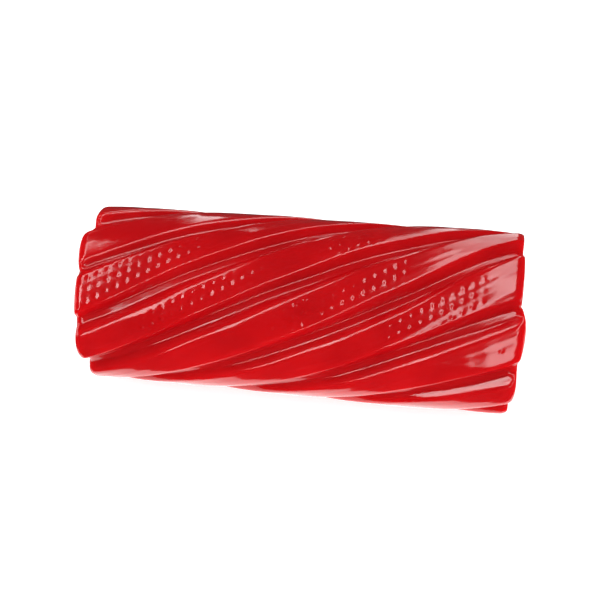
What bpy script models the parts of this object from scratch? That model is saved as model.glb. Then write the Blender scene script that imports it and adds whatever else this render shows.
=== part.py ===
"""A short cut of soft licorice, lying on its side: metres, +Z up.

It is a solid round bar. Ten ribs wind round it like a left-handed thread, and both
ends are cut square. The ribs differ in width and height. Each groove is a valley that
drops steeply from the rib above it, and rises in two stages to the rib below it. The
underside has sagged flat where the ribs rest. X runs along the bar, -Y is its front, and
the origin is under the middle of its bounding box, on the surface that it lies on.
"""

import math

import bmesh
import bpy
import numpy as np

# Driving dimensions, in metres.
LENGTH = 0.0448
RADIUS = 0.00928  # to the tops of the ribs, half way along the bar
RADIUS_GROWTH = 0.0125  # the radius gets this much larger for each metre towards +X
GROOVE_DEPTH = 0.0008
CUT_ROUNDING = 0.0006
REST_FLAT = 0.00035  # the height that the underside has lost where it lies
RIB_SWELL = 0.00012  # how far a rib stands above or below the mean

# Angles round the bar are in degrees, from its top towards its front.
TWIST = 147.6  # the ribs turn this far over the length
GROOVES = (-79.7, -41.5, -10.2, 27.3, 65.8, 102.8, 139.3, 178.3, 211.0, 243.0)
GROOVE_WANDER = 1.2
# How far each groove drifts from its thread by the left and the right cut, in degrees.
LEFT_DRIFT = (0.0, 0.0, 2.0, 6.0, 2.0, 0.0, 0.0, 0.0, 0.0, 0.0)
RIGHT_DRIFT = (0.0, 0.0, 0.0, -4.0, -7.0, 3.5, 4.5, 2.0, 0.0, 0.0)
DRIFT_START = 0.45  # as a share of the way from the middle to a cut
FULL_TURN = 360.0

# The profile of a groove: (place across it, share of its depth), from above it to below it.
GROOVE_PROFILE = (
    (-0.0017, 0.0),
    (-0.0008, 0.06),
    (0.0, 1.0),
    (0.0011, 0.94),
    (0.00195, 0.07),
    (0.0024, 0.0),
)
GROOVE_SPREADS = (0.9, 0.4, 0.95, 1.0, 0.95, 1.0, 1.0, 1.0, 0.9, 0.9)  # how wide each is, below it

# Near a cut the grooves gape: this share deeper at the cut, fading with this power.
END_GAPE = 0.1
END_GAPE_POWER = 6

# The mesh: rings along the bar, and points across each rib.
BODY_RINGS = 37
ROUNDING_RINGS = 3
BELOW_POINTS = (0.0, 0.0006, 0.0011, 0.0015, 0.00195, 0.0024)
LAND_POINTS = 2
ABOVE_POINTS = (0.0017, 0.0012, 0.0008, 0.0004)

SHARP_EDGE = math.radians(50)

RED = (0.61, 0.006, 0.009, 1.0)
GLOSS_ROUGHNESS = 0.16


def ease(value):
    """A smooth step from 0 at the start of the drift to 1 at a cut."""
    share = min(1.0, max(0.0, (value - DRIFT_START) / (1 - DRIFT_START)))
    return share * share * (3 - 2 * share)


def groove_angle(index, along):
    """The angle of a groove, untwisted, at a place along the bar from -1 to 1."""
    turns, which = divmod(index, len(GROOVES))
    wander = GROOVE_WANDER * math.sin(2.4 * along + 1.9 * which)
    wander += LEFT_DRIFT[which] * ease(-along) + RIGHT_DRIFT[which] * ease(along)
    return GROOVES[which] + FULL_TURN * turns + wander


def fall(offset, spread):
    """How deep the surface has fallen at an offset from a groove, which is negative above it."""
    places = [place * (spread if place > 0 else 1.0) for place, share in GROOVE_PROFILE]
    return float(np.interp(offset, places, [share for place, share in GROOVE_PROFILE]))


def rib_places(rib, width):
    """The distances from a rib's upper groove at which its outline has a point."""
    below = [place * GROOVE_SPREADS[rib] for place in BELOW_POINTS]
    above = [width - place for place in ABOVE_POINTS]
    step = (above[0] - below[-1]) / (LAND_POINTS + 1)
    land = [below[-1] + step * (i + 1) for i in range(LAND_POINTS)]
    return below + land + above


def rib_height(index, along):
    return RIB_SWELL * math.sin(2.3 * index + 1.1 + 0.8 * along)


def section(x, inset):
    """The points of the bar's outline at x, drawn in by an inset, in order round the bar."""
    along = 2 * x / LENGTH
    depth = GROOVE_DEPTH * (1 + END_GAPE * abs(along) ** END_GAPE_POWER)
    radius = RADIUS + RADIUS_GROWTH * x
    axis_height = radius - REST_FLAT
    points = []
    for rib in range(len(GROOVES)):
        start, end = groove_angle(rib, along), groove_angle(rib + 1, along)
        width = radius * math.radians(end - start)
        for place in rib_places(rib, width):
            upper = fall(place, GROOVE_SPREADS[rib])
            lower = fall(place - width, 1.0)
            fallen = max(upper, lower)
            reach = radius + rib_height(rib, along) * (1 - fallen) - depth * fallen - inset
            angle = math.radians(start + place / width * (end - start) - TWIST * along / 2)
            height = axis_height + reach * math.cos(angle)
            points.append((x, -reach * math.sin(angle), max(0.0, height)))
    return points


def stations():
    """The rings along the bar, as (x, inset): a rounding at each cut and a plain run between."""
    half = LENGTH / 2
    rounding = []
    for step in range(ROUNDING_RINGS):
        angle = math.pi / 2 * step / ROUNDING_RINGS
        back = CUT_ROUNDING * (1 - math.cos(angle))
        rounding.append((half - back, CUT_ROUNDING * (1 - math.sin(angle))))
    reach = half - CUT_ROUNDING
    run = [(reach * (2 * i / (BODY_RINGS - 1) - 1), 0.0) for i in range(BODY_RINGS)]
    return [(-x, inset) for x, inset in rounding] + run + rounding[::-1]


def centre(bm):
    """Moves the solid so that its bounding box is centred on the origin from above."""
    for axis in (0, 1):
        values = [vert.co[axis] for vert in bm.verts]
        middle = (min(values) + max(values)) / 2
        for vert in bm.verts:
            vert.co[axis] -= middle


def licorice_material():
    material = bpy.data.materials.new("licorice_red")
    material.use_nodes = True
    shader = material.node_tree.nodes["Principled BSDF"]
    shader.inputs["Base Color"].default_value = RED
    shader.inputs["Roughness"].default_value = GLOSS_ROUGHNESS
    shader.inputs["Metallic"].default_value = 0.0
    return material


def twisted_bar():
    bm = bmesh.new()
    rings = [[bm.verts.new(point) for point in section(x, inset)] for x, inset in stations()]
    for ring, following in zip(rings, rings[1:]):
        for i in range(len(ring)):
            before = i - 1
            bm.faces.new((ring[before], following[before], following[i], ring[i]))
    bm.faces.new(rings[0])
    bm.faces.new(rings[-1][::-1])
    bmesh.ops.recalc_face_normals(bm, faces=bm.faces[:])
    centre(bm)
    mesh = bpy.data.meshes.new("licorice_twist")
    bm.to_mesh(mesh)
    bm.free()
    mesh.shade_smooth()
    mesh.set_sharp_from_angle(angle=SHARP_EDGE)
    mesh.materials.append(licorice_material())
    bar = bpy.data.objects.new("licorice_twist", mesh)
    bpy.context.scene.collection.objects.link(bar)
    return bar


for leftover in list(bpy.data.objects):
    bpy.data.objects.remove(leftover)
twisted_bar()
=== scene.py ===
"""The looks of a short cut of soft licorice that lies on its side. Metres, +Z up.

One closed mesh stands for the bar. It repeats the solid's ribs, grooves and twist, and
adds what is finer: the mesh print on the ribs, flow lines, lumps, a pit, and ends that a
blade has cut. Angles round the bar are in degrees, from its top towards its front (-Y).
"""

import math

import bpy
import numpy as np
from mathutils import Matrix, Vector


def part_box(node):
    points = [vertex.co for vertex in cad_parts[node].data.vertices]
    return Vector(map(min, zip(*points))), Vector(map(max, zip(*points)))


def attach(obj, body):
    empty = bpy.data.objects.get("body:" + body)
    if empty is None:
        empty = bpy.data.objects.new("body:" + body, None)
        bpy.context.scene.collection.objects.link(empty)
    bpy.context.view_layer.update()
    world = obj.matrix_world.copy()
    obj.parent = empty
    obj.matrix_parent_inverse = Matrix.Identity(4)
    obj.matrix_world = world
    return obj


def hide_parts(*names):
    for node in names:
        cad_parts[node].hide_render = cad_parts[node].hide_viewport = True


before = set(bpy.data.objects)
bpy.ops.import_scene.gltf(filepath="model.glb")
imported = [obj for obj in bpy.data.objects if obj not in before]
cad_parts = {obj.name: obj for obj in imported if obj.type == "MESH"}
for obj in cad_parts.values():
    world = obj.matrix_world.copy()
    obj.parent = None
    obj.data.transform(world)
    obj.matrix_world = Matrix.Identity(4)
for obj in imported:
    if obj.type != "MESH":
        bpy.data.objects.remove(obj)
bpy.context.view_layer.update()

MM = 0.001

# The solid's own form, which is repeated here.
LENGTH = 44.8 * MM
RADIUS = 9.28 * MM
RADIUS_GROWTH = 0.0125
GROOVE_DEPTH = 0.8 * MM
REST_FLAT = 0.35 * MM
RIB_SWELL = 0.12 * MM
TWIST = 147.6
GROOVES = (-79.7, -41.5, -10.2, 27.3, 65.8, 102.8, 139.3, 178.3, 211.0, 243.0)
GROOVE_WANDER = 1.2
# How far each groove drifts from its thread by the left and the right cut, in degrees.
LEFT_DRIFT = (0.0, 0.0, 2.0, 6.0, 2.0, 0.0, 0.0, 0.0, 0.0, 0.0)
RIGHT_DRIFT = (0.0, 0.0, 0.0, -4.0, -7.0, 3.5, 4.5, 2.0, 0.0, 0.0)
DRIFT_START = 0.45
FULL_TURN = 360.0
END_GAPE = 0.1
END_GAPE_POWER = 6

# The profile of a groove: (place across it, share of its depth), from above it to below it.
# Its crest, the last points, is rounder than the solid's.
GROOVE_PROFILE = (
    (-1.7 * MM, 0.0),
    (-0.8 * MM, 0.06),
    (0.0, 1.0),
    (1.1 * MM, 0.94),
    (1.75 * MM, 0.2),
    (1.95 * MM, 0.08),
    (2.15 * MM, 0.03),
    (2.4 * MM, 0.0),
)
CORNER = 0.14 * MM  # the profile's corners are blurred this far to both sides
CORNER_STEPS = 9
GROOVE_SPREADS = (0.9, 0.4, 0.95, 1.0, 0.95, 1.0, 1.0, 1.0, 0.9, 0.9)  # how wide each is, below it
GROOVE_SHARES = (0.9, 0.75, 1.0, 1.0, 1.0, 1.0, 1.0, 1.0, 0.9, 0.9)  # how deep each is

# How far each rib's end is set back at the left and the right cut, and a groove's past that.
LEFT_BACK = np.array((-0.2, 0.0, 0.0, 0.85, 0.7, 0.5, 0.4, 0.4, 0.5, 0.5)) * MM
RIGHT_BACK = np.array((0.5, 0.5, 0.4, 0.4, 0.3, -0.2, 0.15, 0.55, 0.7, 0.6)) * MM
GROOVE_BACK = 0.08 * MM
# The rims are rounded by this much along the bar and across it.
LEFT_ROUNDING = (0.7 * MM, 0.45 * MM)
RIGHT_ROUNDING = (0.8 * MM, 0.35 * MM)
# Past this distance from the middle, the bar is drawn in towards its cuts.
TAPER_START = 13.0 * MM
RIGHT_TAPER = 0.12 * MM
LEFT_TAPER = 0.05 * MM
CUT_DISH = 0.35 * MM
RIM_FADE = 5  # how fast the rim's own form fades towards the middle of a cut

# The unevenness of the surface, as (height, wavelength, seed).
GROOVE_WAVER = (0.08 * MM, 9 * MM, 11)
LUMPS = ((0.015 * MM, 8 * MM, 31), (0.004 * MM, 2.2 * MM, 32))
FLOW_LINES = (0.012 * MM, 0.9 * MM, 33)
FLOW_STRETCH = 0.06  # flow lines are squeezed by this along the bar, so they run with the ribs
CUT_GRAIN = ((0.05 * MM, 3.5 * MM, 41), (0.015 * MM, 0.9 * MM, 42))

# The print that a wire belt has pressed into the ribs: round dimples in staggered columns.
PRINT_PITCH = 0.96 * MM
PRINT_STEP = 1.2 * MM
PRINT_WARP = (0.10 * MM, 5 * MM, 21)
PRINT_WEAR = (1.0, 3.5 * MM, 22)
DIMPLE_RADIUS = 0.32 * MM
DIMPLE_DEPTH = 0.048 * MM
SHALLOWEST_DIMPLE = 0.55  # as a share of the deepest
PRINT_FADE = 1.5 * MM
PRINT_EDGES = (0.3 * MM, 0.6 * MM)  # its fade at the crest and at the foot of a rib
# Where it shows: (rib, start and end along the bar, strength).
PRINT_PATCHES = (
    (1, -24.0 * MM, -9.0 * MM, 1.0),
    (2, -17.0 * MM, -3.0 * MM, 1.15),
    (2, 1.5 * MM, 8.5 * MM, 0.8),
    (3, -3.5 * MM, 2.5 * MM, 1.0),
    (3, 2.0 * MM, 11.5 * MM, 1.1),
    (4, 8.5 * MM, 19.0 * MM, 1.0),
    (6, -19.0 * MM, -8.0 * MM, 0.9),
    (7, -11.0 * MM, 3.0 * MM, 0.7),
    (8, -1.0 * MM, 12.0 * MM, 0.8),
    (9, 7.0 * MM, 20.0 * MM, 0.9),
)

# Pits in the skin: (rib, place along the bar, share of the way across the rib).
PITS = ((5, 20.4 * MM, 0.6),)
PIT_RADIUS = 0.15 * MM
PIT_DEPTH = 0.05 * MM

# The mesh.
BODY_RINGS = 289
ROUNDING_RINGS = 7
CUT_RINGS = 15
RIB_COLUMNS = (25, 34, 38, 38, 38, 37, 24, 24, 21, 21)

# The camera, from the middle of the bar.
CAMERA_DISTANCE = 157.0 * MM
CAMERA_ELEVATION = 45.0
CAMERA_SWING = 7.2
LENS = 89.0

# The colours are (darkest, palest), the roughnesses (least, most).
SKIN_COLOURS = ((0.54, 0.0028, 0.0055), (0.63, 0.004, 0.007))
SKIN_ROUGHNESS = (0.07, 0.13)
SKIN_GRAIN = (1800.0, 0.15)
CUT_COLOURS = ((0.58, 0.006, 0.010), (0.70, 0.012, 0.016))
CUT_ROUGHNESS = (0.24, 0.36)
CUT_FACE_GRAIN = (900.0, 0.5)

FLOOR_COLOURS = ((0.84, 0.84, 0.84), (0.87, 0.87, 0.87))
FLOOR_SIZE = 3.0
FLOOR_GAP = 0.01 * MM

HOOP_RADIUS = 600.0 * MM
HOOP_STEP = 30.0
# The softboxes of the hoops: (angle, start and end along the bar in mm, radiance).
RIGHT_BOXES = (
    (-90, 0, 79, 2.0),
    (-60, -4, 79, 3.0),
    (-30, -4, 79, 6.0),
    (0, 22, 79, 8.0),
    (30, 26, 79, 8.0),
    (60, 32, 79, 7.0),
    (90, 34, 79, 7.0),
)
LEFT_BOXES = (
    (-78, -129, -104, 3.4),
    (-40, -250, -225, 1.5),
    (-10, -270, -192, 6.0),
    (20, -300, -198, 7.0),
    (50, -380, -215, 9.0),
    (80, -380, -290, 9.0),
)
# The other lights: (name, place, what it faces, size, radiance, whether it is seen in the gloss).
BAR_MIDDLE = (0.0, 0.0, RADIUS)
WALL_SIZE = (0.05, 0.018)
GLOW_PLACE = (0.0, -6.5 * MM, 0.02 * MM)
GLOW_SIZE = (60 * MM, 9 * MM)
LIGHTS = (
    ("right_wall", (0.06, 0.0, RADIUS), BAR_MIDDLE, WALL_SIZE, 3.5, True),
    ("left_wall", (-0.06, 0.0, RADIUS), BAR_MIDDLE, WALL_SIZE, 2.5, True),
    ("floor_glow", GLOW_PLACE, (0.0, -6.5 * MM, 1.0), GLOW_SIZE, 1.6, True),
    ("overhead", (0.0, -0.05, 0.5), (0.0, 0.0, 0.0), (0.7, 0.7), 1.15, False),
    ("left_fill", (-0.4, -0.1, 0.25), (0.0, 0.0, 0.01), (0.5, 0.4), 1.8, False),
    ("right_fill", (0.4, -0.1, 0.25), (0.0, 0.0, 0.01), (0.5, 0.4), 1.8, False),
)
AMBIENT = 0.06


def ease(value, start, end):
    """A smooth step from 0 at start to 1 at end."""
    share = np.clip((value - start) / (end - start), 0.0, 1.0)
    return share * share * (3 - 2 * share)


def waves(points, kind, count=9):
    """Smooth noise at points in space, a sum of seeded plane waves: mostly within its height."""
    height, wavelength, seed = kind
    rng = np.random.default_rng(seed)
    total = np.zeros(points.shape[:-1])
    for _ in range(count):
        direction = rng.normal(size=3)
        direction /= np.linalg.norm(direction)
        length = wavelength * rng.uniform(0.7, 1.4)
        total += np.sin(2 * np.pi * (points @ direction) / length + rng.uniform(0, 2 * np.pi))
    return height * total / math.sqrt(2 * count)


def groove_angle(index, along):
    """The angle of a groove, untwisted, at places along the bar from -1 to 1."""
    turns, which = divmod(index, len(GROOVES))
    wander = GROOVE_WANDER * np.sin(2.4 * along + 1.9 * which)
    wander += LEFT_DRIFT[which] * ease(-along, DRIFT_START, 1.0)
    wander += RIGHT_DRIFT[which] * ease(along, DRIFT_START, 1.0)
    return GROOVES[which] + FULL_TURN * turns + wander


def rib_height(index, along):
    return RIB_SWELL * np.sin(2.3 * index + 1.1 + 0.8 * along)


def groove_shape(offset, spread):
    """How deep the surface has fallen at an offset from a groove, which is negative above it."""
    places = [place * (spread if place > 0 else 1.0) for place, share in GROOVE_PROFILE]
    return np.interp(offset, places, [share for place, share in GROOVE_PROFILE])


def profile(rib, distance, width):
    """How deep the surface has fallen across a rib: 1 in a groove, 0 on the rib."""
    fallen = np.zeros_like(distance)
    for shift in np.linspace(-CORNER, CORNER, CORNER_STEPS):
        above = groove_shape(distance + shift, GROOVE_SPREADS[rib])
        below = groove_shape(distance - width + shift, GROOVE_SPREADS[(rib + 1) % len(GROOVES)])
        fallen += np.maximum(above, below)
    return fallen / CORNER_STEPS


def groove_share(index, share):
    """The depth of a groove at a rib's two sides, blended across the rib."""
    here = GROOVE_SHARES[index % len(GROOVES)]
    following = GROOVE_SHARES[(index + 1) % len(GROOVES)]
    return here + (following - here) * ease(share, 0.35, 0.65)


def set_back(backs, rib, share):
    """How far the cut lies back from the bar's end, across one rib."""
    ribs = len(GROOVES)
    start = max(backs[rib - 1], backs[rib]) + GROOVE_BACK
    end = max(backs[rib], backs[(rib + 1) % ribs]) + GROOVE_BACK
    middle = np.sin(np.pi * share) ** 0.7
    return backs[rib] * middle + (start + (end - start) * share) * (1 - middle)


def dimples(x, arc):
    """The belt's print: 1 in the middle of a dimple, 0 on the ribs' own surface."""
    total = np.zeros_like(x)
    for column in (0, 1):
        across = x / (2 * PRINT_PITCH) + column / 2
        up = arc / PRINT_STEP + column / 2
        cell = (np.round(across), np.round(up))
        du = (across - cell[0]) * 2 * PRINT_PITCH / DIMPLE_RADIUS
        dv = (up - cell[1]) * PRINT_STEP / DIMPLE_RADIUS
        # A fixed chance from 0 to 1 for each dimple, from the fraction of a large sine.
        chance = np.sin(cell[0] * 12.9898 + cell[1] * 78.233 + column * 37.7) * 43758.5453
        depth = SHALLOWEST_DIMPLE + (1 - SHALLOWEST_DIMPLE) * (chance - np.floor(chance))
        total += depth * np.clip(1 - du * du - dv * dv, 0.0, 1.0) ** 1.5
    return total


def print_zone(rib, x, distance, width):
    """Where the belt has pressed: patches along some ribs, from the crest to the foot."""
    zone = np.zeros_like(x)
    for where, start, end, strength in PRINT_PATCHES:
        if where == rib:
            faded = 1 - ease(x, end - PRINT_FADE, end)
            zone += strength * ease(x, start, start + PRINT_FADE) * faded
    crest = GROOVE_PROFILE[-1][0] * GROOVE_SPREADS[rib] - PRINT_EDGES[0] / 3
    foot = width + GROOVE_PROFILE[1][0]
    below_crest = ease(distance, crest, crest + PRINT_EDGES[0])
    return zone * below_crest * (1 - ease(distance, foot - PRINT_EDGES[1], foot))


def skin_relief(rib, x, distance, share, width, turn, risen):
    """What is finer than the ribs: print, pits, lumps and flow lines, as a height."""
    on_round = on_plain_round(x, turn)
    warp = waves(on_round, PRINT_WARP)
    worn = ease(waves(on_round, PRINT_WEAR), -1.3, -0.3)
    print_height = -DIMPLE_DEPTH * print_zone(rib, x, distance, width)
    relief = print_height * dimples(x + warp, RADIUS * turn + warp) * worn
    relief -= PIT_DEPTH * pits(rib, x, share, width)
    for kind in LUMPS:
        relief += waves(on_round, kind)
    own_place = np.full_like(x, rib * 2.0 * MM)  # so that no two ribs have the same flow lines
    flow = np.stack((x * FLOW_STRETCH, distance, own_place), axis=-1)
    return relief + waves(flow, FLOW_LINES) * ease(risen, 0.4, 0.9)


def pits(rib, x, share, width):
    """The skin's pits: 1 in the middle of a pit, 0 away from it."""
    total = np.zeros_like(x)
    for where, place, across in PITS:
        if where == rib:
            total += np.exp(-((x - place) ** 2 + ((share - across) * width) ** 2) / PIT_RADIUS ** 2)
    return total


def on_plain_round(x, turn):
    """Points on the bar as it would be without ribs."""
    radius = RADIUS + RADIUS_GROWTH * x
    return np.stack((x, -radius * np.sin(turn), radius * np.cos(turn)), axis=-1)


def body_rings():
    """The rings between the cuts: place from -1 to 1, and the rounding angles at left and right."""
    quarter = np.pi / 2
    steps = [quarter * i / ROUNDING_RINGS for i in range(ROUNDING_RINGS)]
    place = [-1.0] * ROUNDING_RINGS + list(np.linspace(-1, 1, BODY_RINGS)) + [1.0] * ROUNDING_RINGS
    left = steps + [quarter] * (BODY_RINGS + ROUNDING_RINGS)
    right = [quarter] * (BODY_RINGS + ROUNDING_RINGS) + steps[::-1]
    return np.array(place), np.array(left), np.array(right)


def rib_points(rib):
    """One rib's points, ring by ring, as an array of (ring, column, xyz)."""
    place, left, right = body_rings()
    share = np.linspace(0.0, 1.0, RIB_COLUMNS[rib], endpoint=False)[None, :]

    half = LENGTH / 2
    low = half - set_back(LEFT_BACK, rib, share) - LEFT_ROUNDING[0]
    high = half - set_back(RIGHT_BACK, rib, share) - RIGHT_ROUNDING[0]
    x = -low + (low + high) * (place[:, None] + 1) / 2
    x = x - LEFT_ROUNDING[0] * np.cos(left)[:, None] + RIGHT_ROUNDING[0] * np.cos(right)[:, None]
    inset = LEFT_ROUNDING[1] * (1 - np.sin(left)) + RIGHT_ROUNDING[1] * (1 - np.sin(right))
    inset = np.broadcast_to(inset[:, None], x.shape)

    along = 2 * x / LENGTH
    start, end = groove_angle(rib, along), groove_angle(rib + 1, along)
    radius = RADIUS + RADIUS_GROWTH * x
    angle = start + share * (end - start) - TWIST * along / 2
    turn = np.radians(angle)
    width = radius * np.radians(end - start)
    distance = share * width

    waver = waves(on_plain_round(x, turn), GROOVE_WAVER)
    fallen = profile(rib, distance + waver, width)
    risen = 1 - fallen
    gape = 1 + END_GAPE * np.abs(along) ** END_GAPE_POWER
    depth = GROOVE_DEPTH * groove_share(rib, share) * gape
    relief = skin_relief(rib, x, distance, share, width, turn, risen)

    taper = RIGHT_TAPER * np.clip((x - TAPER_START) / (half - TAPER_START), 0, 1) ** 2
    taper += LEFT_TAPER * np.clip((-x - TAPER_START) / (half - TAPER_START), 0, 1) ** 2
    reach = radius + rib_height(rib, along) * risen - depth * fallen - inset - taper + relief
    height = radius - REST_FLAT + reach * np.cos(turn)
    return np.stack((x, -reach * np.sin(turn), np.maximum(height, 0.0)), axis=-1)


def cut_points(rim, side):
    """The rings that close a cut, from its rim inwards, and its middle."""
    middle = np.array((0.0, rim[:, 1].mean(), rim[:, 2].mean()))
    rings = []
    for i in range(1, CUT_RINGS + 1):
        scale = 1 - i / (CUT_RINGS + 1)
        ring = middle + (rim - middle) * scale
        ring[:, 0] = rim[:, 0] * scale ** RIM_FADE + rim[:, 0].mean() * (1 - scale ** RIM_FADE)
        sunk = CUT_DISH * (1 - scale ** 2)
        grain = sum(waves(ring, kind) for kind in CUT_GRAIN)
        ring[:, 0] -= side * (sunk + grain * ease(1 - scale, 0.0, 0.15))
        rings.append(ring)
    last = rings[-1].mean(axis=0)
    return np.array(rings), last


def licorice_mesh():
    """The whole bar as one closed mesh, with the cuts' faces in its second material."""
    body = np.concatenate([rib_points(rib) for rib in range(len(GROOVES))], axis=1)
    columns = body.shape[1]
    left_rings, left_middle = cut_points(body[0], -1)
    right_rings, right_middle = cut_points(body[-1], 1)
    stack = np.concatenate((left_rings[::-1], body, right_rings))
    points = np.concatenate((stack.reshape(-1, 3), [left_middle, right_middle]))
    low, high = points.min(axis=0), points.max(axis=0)
    points[:, :2] -= (low[:2] + high[:2]) / 2

    count = len(stack)
    ring = np.arange(count - 1)[:, None] * columns
    above = ring + columns
    column = np.arange(columns)[None, :]
    following = (column + 1) % columns
    corners = (ring + column, ring + following, above + following, above + column)
    faces = np.stack(corners, axis=-1).reshape(-1, 4).tolist()
    first, last = len(points) - 2, len(points) - 1
    end = (count - 1) * columns
    for i in range(columns):
        nxt = (i + 1) % columns
        faces.append((first, nxt, i))
        faces.append((last, end + i, end + nxt))
    mesh = bpy.data.meshes.new("licorice")
    mesh.from_pydata(points.tolist(), [], faces)
    cut = np.zeros(len(faces), dtype=np.int32)
    cut[: CUT_RINGS * columns] = 1
    cut[(count - 1 - CUT_RINGS) * columns :] = 1
    mesh.polygons.foreach_set("material_index", cut)
    mesh.shade_smooth()
    return mesh


def new_material(name):
    material = bpy.data.materials.new(name)
    material.use_nodes = True
    nodes = material.node_tree.nodes
    return material, nodes, material.node_tree.links, nodes["Principled BSDF"]


def noise_node(nodes, links, scale, detail, roughness=0.55):
    coordinates = nodes.new("ShaderNodeTexCoord")
    noise = nodes.new("ShaderNodeTexNoise")
    noise.inputs["Scale"].default_value = scale
    noise.inputs["Detail"].default_value = detail
    noise.inputs["Roughness"].default_value = roughness
    links.new(coordinates.outputs["Object"], noise.inputs["Vector"])
    return noise


def ramp_node(nodes, links, source, low, high, colours):
    ramp = nodes.new("ShaderNodeValToRGB")
    ramp.color_ramp.elements[0].position = low
    ramp.color_ramp.elements[1].position = high
    ramp.color_ramp.elements[0].color = (*colours[0], 1.0)
    ramp.color_ramp.elements[1].color = (*colours[1], 1.0)
    links.new(source.outputs["Fac"], ramp.inputs["Fac"])
    return ramp


def range_node(nodes, links, source, low, high):
    spread = nodes.new("ShaderNodeMapRange")
    spread.inputs["To Min"].default_value = low
    spread.inputs["To Max"].default_value = high
    links.new(source.outputs["Fac"], spread.inputs["Value"])
    return spread


def red_material(name, colours, roughness, grain):
    """Licorice: a patchy red that light enters, with a patchy gloss and a grain of (scale, strength)."""
    material, nodes, links, shader = new_material(name)
    tint = ramp_node(nodes, links, noise_node(nodes, links, 160.0, 3.0), 0.35, 0.68, colours)
    links.new(tint.outputs["Color"], shader.inputs["Base Color"])
    gloss = range_node(nodes, links, noise_node(nodes, links, 420.0, 2.0), *roughness)
    links.new(gloss.outputs["Result"], shader.inputs["Roughness"])
    shader.inputs["IOR"].default_value = 1.45
    shader.inputs["Subsurface Weight"].default_value = 0.8
    shader.inputs["Subsurface Radius"].default_value = (1.0, 0.14, 0.12)
    shader.inputs["Subsurface Scale"].default_value = 2.2 * MM
    bump = nodes.new("ShaderNodeBump")
    bump.inputs["Strength"].default_value = grain[1]
    bump.inputs["Distance"].default_value = 0.02 * MM
    links.new(noise_node(nodes, links, grain[0], 3.0).outputs["Fac"], bump.inputs["Height"])
    links.new(bump.outputs["Normal"], shader.inputs["Normal"])
    return material


def floor_material():
    material, nodes, links, shader = new_material("pale_floor")
    tint = ramp_node(nodes, links, noise_node(nodes, links, 12.0, 2.0), 0.3, 0.7, FLOOR_COLOURS)
    links.new(tint.outputs["Color"], shader.inputs["Base Color"])
    shader.inputs["Roughness"].default_value = 0.7
    shader.inputs["Emission Color"].default_value = (1.0, 1.0, 1.0, 1.0)
    shader.inputs["Emission Strength"].default_value = 0.8
    return material


def add_floor():
    mesh = bpy.data.meshes.new("floor")
    half = FLOOR_SIZE / 2
    corners = [(-half, -half, 0), (half, -half, 0), (half, half, 0), (-half, half, 0)]
    mesh.from_pydata(corners, [], [(0, 1, 2, 3)])
    mesh.materials.append(floor_material())
    floor = bpy.data.objects.new("floor", mesh)
    floor.location.z = -FLOOR_GAP
    floor.visible_glossy = False
    bpy.context.scene.collection.objects.link(floor)


def add_light(name, place, target, size, radiance, glossy):
    """A rectangular softbox, which is either seen in the gloss alone or lights what lies under it."""
    data = bpy.data.lights.new(name, "AREA")
    data.shape = "RECTANGLE"
    data.size, data.size_y = size
    data.energy = radiance * math.pi * size[0] * size[1]
    light = bpy.data.objects.new(name, data)
    light.location = place
    light.rotation_mode = "QUATERNION"
    light.rotation_quaternion = (Vector(target) - Vector(place)).to_track_quat("-Z", "Y")
    light.visible_camera = False
    light.visible_glossy = glossy
    light.visible_diffuse = not glossy
    light.visible_transmission = not glossy
    bpy.context.scene.collection.objects.link(light)


def add_hoop_box(name, span, angle, radiance):
    """A softbox on a hoop round the bar, at an angle from the top to the front, seen in its gloss."""
    turn = math.radians(angle)
    middle = (span[0] + span[1]) / 2
    place = (middle, -HOOP_RADIUS * math.sin(turn), HOOP_RADIUS * math.cos(turn) + RADIUS)
    size = (span[1] - span[0], 2 * HOOP_RADIUS * math.tan(math.radians(HOOP_STEP / 2)))
    add_light(name, place, (middle, 0.0, RADIUS), size, radiance, True)


def add_lights():
    for side, boxes in (("right", RIGHT_BOXES), ("left", LEFT_BOXES)):
        for angle, start, end, radiance in boxes:
            add_hoop_box(f"{side}_box_{angle}", (start * MM, end * MM), angle, radiance)
    for name, place, target, size, radiance, glossy in LIGHTS:
        add_light(name, place, target, size, radiance, glossy)


def add_world():
    world = bpy.data.worlds.new("studio")
    world.use_nodes = True
    background = world.node_tree.nodes["Background"]
    background.inputs["Color"].default_value = (1.0, 1.0, 1.0, 1.0)
    background.inputs["Strength"].default_value = AMBIENT
    bpy.context.scene.world = world


def add_camera(middle):
    up, swing = math.radians(CAMERA_ELEVATION), math.radians(CAMERA_SWING)
    back = Vector((math.cos(up) * math.sin(swing), -math.cos(up) * math.cos(swing), math.sin(up)))
    camera = bpy.data.objects.new("camera", bpy.data.cameras.new("camera"))
    camera.data.lens = LENS
    camera.data.clip_start = 0.01
    camera.location = middle + back * CAMERA_DISTANCE
    camera.rotation_mode = "QUATERNION"
    camera.rotation_quaternion = (-back).to_track_quat("-Z", "Y")
    bpy.context.scene.collection.objects.link(camera)
    bpy.context.scene.camera = camera


def add_licorice():
    mesh = licorice_mesh()
    skin = red_material("licorice_skin", SKIN_COLOURS, SKIN_ROUGHNESS, SKIN_GRAIN)
    cut = red_material("licorice_cut", CUT_COLOURS, CUT_ROUGHNESS, CUT_FACE_GRAIN)
    mesh.materials.append(skin)
    mesh.materials.append(cut)
    bar = bpy.data.objects.new("licorice", mesh)
    bpy.context.scene.collection.objects.link(bar)
    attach(bar, "root")
    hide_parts("licorice_twist")


add_licorice()
add_floor()
add_lights()
add_world()
low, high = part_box("licorice_twist")
add_camera((low + high) / 2)
bpy.context.scene.view_settings.view_transform = "Standard"
bpy.context.scene.view_settings.look = "None"
